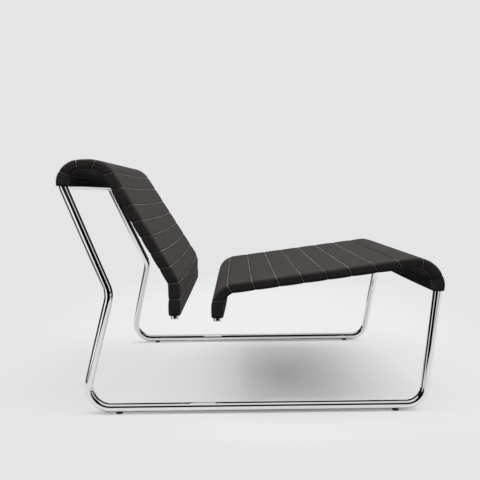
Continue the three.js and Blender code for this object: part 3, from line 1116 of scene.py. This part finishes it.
# painted shade line: along each rail the glow is weaker, so the real contact shadow shows
from_rail = abs(abs(paper_y) - half_span(rail_height))
under_rail = 1 - rising(paper, from_rail, *rail_shade_width)
under_rail = under_rail * (1 - rising(paper, from_middle, *rail_shade_end))
# painted pool of light: the glow is paler round a place behind the chair
from_glow = paper.node(
    "ShaderNodeVectorMath", {"operation": "DISTANCE"}, {0: paper_place, 1: glow_middle}, 1
)
glow_colour = paper.blend(rising(paper, from_glow, *glow_reach), glow_tone, backdrop_tone)
to_camera = paper.node("ShaderNodeLightPath", output=0)
to_mirror = paper.node("ShaderNodeLightPath", output=3)
# painted reflection: to the chrome only, the floor's far ends are dark
painted_dark_ends = rising(paper, paper_x * -1, *rear_end) * rear_end_share
painted_dark_ends = (painted_dark_ends + rising(paper, paper_x, *front_end)) * to_mirror
glow_colour = paper.blend(painted_dark_ends, glow_colour, painted_dark_end_tone)
paper_glow = paper.node("ShaderNodeEmission", None, {"Strength": 1.0, "Color": glow_colour})
# painted shade: the paper is dim to bounced light, so the chair's undersides stay dark; it is
# pale to camera and chrome
paper.feed("Base Color", paper.blend(to_camera + to_mirror, dim_paper_tone, paper_tone))
camera_share = to_camera * unlit * (1 - under_rail * rail_shade_share)
mirror_share = to_mirror * (mirror_glow_near + paper_fade * mirror_glow_more) * (1 - under_rail)
paper_surface = Wire(paper.tree, paper.shader.outputs[0])
paper_skin = paper.mix(camera_share + mirror_share, paper_surface, paper_glow)
paper.tree.links.new(paper_skin.socket, paper.tree.nodes["Material Output"].inputs["Surface"])
paper.paint(floor)


# Studio. A wide overhead softbox, a small one from the near side and one from the rear. The
# camera sees a pale backdrop. The chrome sees that behind the chair, and elsewhere the two
# cards and a dark room with two softboxes, a pale low wall and a pale ceiling.
def softbox(name, place, aim, size, power):
    way = Vector(aim) - Vector(place)
    bpy.ops.object.light_add(
        type="AREA", location=place, rotation=way.to_track_quat("-Z", "Y").to_euler()
    )
    lamp = bpy.context.object
    lamp.name = name
    lamp.data.shape = "RECTANGLE"
    lamp.data.size, lamp.data.size_y = size
    lamp.data.energy = power
    lamp.visible_camera = lamp.visible_glossy = False


softbox("overhead_softbox", (0.7, 0.0, 2.6), aim=(0.5, 0.0, 0.0), size=(1.8, 3.8), power=101)
softbox("near_softbox", (0.3, -2.2, 2.1), aim=(0, 0, 0.3), size=(1.2, 1.2), power=8)
softbox("rear_softbox", (-2.0, -0.5, 1.7), aim=(-0.2, 0, 0.4), size=(1.0, 1.0), power=19)

# two upright cards on the chair's near side, a white one before its rear and a black one
# before its middle, seen only in the chrome: each from a low to a high corner, in x and z
card_y = -1.12
for tone_name, low_corner, high_corner, brightness in (
    ("white", (-2.03, 0.14), (-0.76, 0.70), 0.95),
    ("black", (-0.76, 0.17), (0.46, 0.86), 0.0),
):
    middle = ((low_corner[0] + high_corner[0]) / 2, card_y, (low_corner[1] + high_corner[1]) / 2)
    bpy.ops.mesh.primitive_plane_add(size=1, location=middle, rotation=(math.pi / 2, 0, 0))
    card = bpy.context.object
    card.name = tone_name + "_card"
    bpy.ops.transform.resize(
        value=(high_corner[0] - low_corner[0], 1, high_corner[1] - low_corner[1]),
        center_override=middle,
    )
    bpy.ops.object.transform_apply(location=True, rotation=True, scale=True)
    card.visible_camera = card.visible_diffuse = card.visible_shadow = False
    card_paper = Finish(tone_name + " card", {
        "Base Color": (0, 0, 0, 1),
        "Specular IOR Level": 0.0,
        "Emission Color": (1, 1, 1, 1),
        "Emission Strength": brightness,
    })
    card_paper.paint(card)

room = bpy.data.worlds.new("studio")
bpy.context.scene.world = room
room.use_nodes = True
studio = Shading(room.node_tree)
seen = studio.node("ShaderNodeLightPath", output=0)
mirrored_ray = studio.node("ShaderNodeLightPath", output=3)
room_way = studio.node("ShaderNodeTexCoord", output=0)
forwards, leftwards, upwards = studio.parts(room_way)
bearing = forwards.maths("ARCTAN2", forwards, leftwards * -1)
bearing_blur = 0.03
height_blur = 0.02
dark_room = 0.012
low_wall_top, low_wall_start, low_wall = (0.09, 0.15), (-1.15, -1.0), 0.62
ceiling_start, ceiling = (0.72, 0.78), 0.74
backdrop_start = (0.86, 0.92)
fill_light = 0.05
white = (1, 1, 1, 1)


def between(value, low, high, blur):
    """1 between two limits in the room, blurred at both, and 0 beyond them."""
    risen = rising(studio, value, low - blur, low + blur)
    return risen * (1 - rising(studio, value, high - blur, high + blur))


def mirrored_softbox(bearings, heights, brightness):
    """A softbox as the chrome sees it: between two bearings in degrees, two sines of height."""
    low, high = (math.radians(value) for value in bearings)
    across = between(bearing, low, high, bearing_blur)
    return across * between(upwards, *heights, height_blur) * brightness


under_wall_top = 1 - rising(studio, upwards, *low_wall_top)
room_light = (
    dark_room
    + under_wall_top * rising(studio, bearing, *low_wall_start) * low_wall
    + rising(studio, upwards, *ceiling_start) * ceiling
    + mirrored_softbox((50, 76), (0.20, 0.72), 0.70)
    + mirrored_softbox((80, 104), (0.10, 0.60), 0.12)
)
behind_chair = rising(studio, leftwards, *backdrop_start)
backdrop = studio.node("ShaderNodeBackground", None, {"Color": backdrop_tone, "Strength": 1.0})
fill = studio.node("ShaderNodeBackground", None, {"Color": white, "Strength": fill_light})
walls = studio.node("ShaderNodeBackground", None, {"Color": white, "Strength": room_light})
reflected = studio.mix(behind_chair, walls, backdrop)
room_skin = studio.mix(seen, studio.mix(mirrored_ray, fill, reflected), backdrop)
room.node_tree.links.new(room_skin.socket, room.node_tree.nodes["World Output"].inputs["Surface"])
bpy.context.scene.view_settings.view_transform = "Standard"
